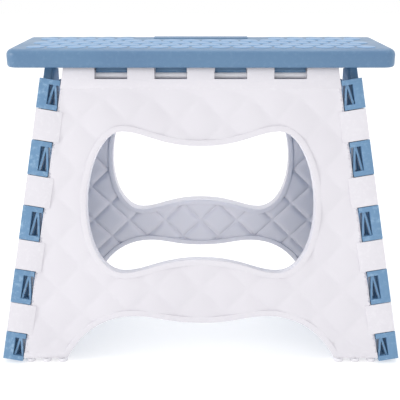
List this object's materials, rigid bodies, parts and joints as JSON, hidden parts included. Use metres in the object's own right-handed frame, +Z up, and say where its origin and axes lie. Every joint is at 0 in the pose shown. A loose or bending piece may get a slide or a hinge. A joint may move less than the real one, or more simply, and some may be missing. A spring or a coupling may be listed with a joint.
{
  "type": "folding step stool",
  "caption": "Folding plastic step stool used as a mounting block, with a hinged two-part top, leaning leg panels with a handle hole, and ends that fold inwards.",
  "frame": {"origin": "floor level under the middle of the opened stool", "axes": "+X along the seat's length, -Y towards the front, +Z up"},
  "size_m": [0.3442, 0.2362, 0.2736],
  "materials": {
    "seat_plastic": "light blue moulded polypropylene, fine satin",
    "end_plastic": "light blue moulded polypropylene, satin",
    "panel_plastic": "white moulded polypropylene with a quilted texture",
    "seat_rod_plastic": "white moulded polypropylene, smooth",
    "rod_steel": "plain drawn wire",
    "foot_pad": "soft white anti-slip rubber"
  },
  "bodies": {
    "front_panel": {"front_panel": "panel_plastic", "front_seat_rod": "seat_rod_plastic", "front_left_corner_rod": "rod_steel", "front_right_corner_rod": "rod_steel", "front_left_foot_pads": "foot_pad", "front_right_foot_pads": "foot_pad"},
    "rear_panel": {"rear_panel": "panel_plastic", "rear_seat_rod": "seat_rod_plastic", "rear_left_corner_rod": "rod_steel", "rear_right_corner_rod": "rod_steel", "rear_left_foot_pads": "foot_pad", "rear_right_foot_pads": "foot_pad"},
    "left_end_front": {"left_end_front": "end_plastic", "left_fold_rod": "rod_steel"},
    "left_end_rear": {"left_end_rear": "end_plastic"},
    "right_end_front": {"right_end_front": "end_plastic", "right_fold_rod": "rod_steel"},
    "right_end_rear": {"right_end_rear": "end_plastic"},
    "seat_front": {"seat_front": "seat_plastic", "seat_centre_rod": "rod_steel"},
    "seat_rear": {"seat_rear": "seat_plastic"}
  },
  "joints": [
    {"name": "left_end_fold", "type": "hinge", "parent": "left_end_front", "child": "left_end_rear", "pos_m": [-0.14087, 0, 0.11864], "axis": [0.1576, 0, 0.9875], "range_deg": [0, 155]},
    {"name": "front_left_corner", "type": "hinge", "parent": "front_panel", "child": "left_end_front", "pos_m": [-0.14506, -0.09176, 0.11784], "axis": [-0.1616, -0.1203, -0.9795], "range_deg": [0, 78.5]},
    {"name": "rear_left_corner", "type": "hinge", "parent": "left_end_rear", "child": "rear_panel", "pos_m": [-0.14506, 0.09176, 0.11784], "axis": [-0.1616, 0.1203, -0.9795], "range_deg": [0, 78.5]},
    {"name": "front_right_corner", "type": "hinge", "parent": "front_panel", "child": "right_end_front", "pos_m": [0.14506, -0.09176, 0.11784], "axis": [-0.1616, 0.1203, 0.9795], "range_deg": [0, 78.5]},
    {"name": "right_end_fold", "type": "hinge", "parent": "right_end_front", "child": "right_end_rear", "pos_m": [0.14087, 0, 0.11864], "axis": [0.1576, 0, -0.9875], "range_deg": [0, 155]},
    {"name": "front_seat_hinge", "type": "hinge", "parent": "front_panel", "child": "seat_front", "pos_m": [0, -0.08021, 0.24479], "axis": [1, 0, 0], "range_deg": [0, 65.9]},
    {"name": "rear_seat_hinge", "type": "hinge", "parent": "rear_panel", "child": "seat_rear", "pos_m": [0, 0.08021, 0.24479], "axis": [-1, 0, 0], "range_deg": [0, 65.9]}
  ],
  "couplings": [
    {"joint": "front_left_corner", "follows": "left_end_fold", "ratio": 0.5062},
    {"joint": "rear_left_corner", "follows": "left_end_fold", "ratio": 0.5062},
    {"joint": "front_right_corner", "follows": "left_end_fold", "ratio": 0.5062},
    {"joint": "right_end_fold", "follows": "left_end_fold", "ratio": 1},
    {"joint": "front_seat_hinge", "follows": "left_end_fold", "ratio": 0.4245},
    {"joint": "rear_seat_hinge", "follows": "left_end_fold", "ratio": 0.4245}
  ]
}
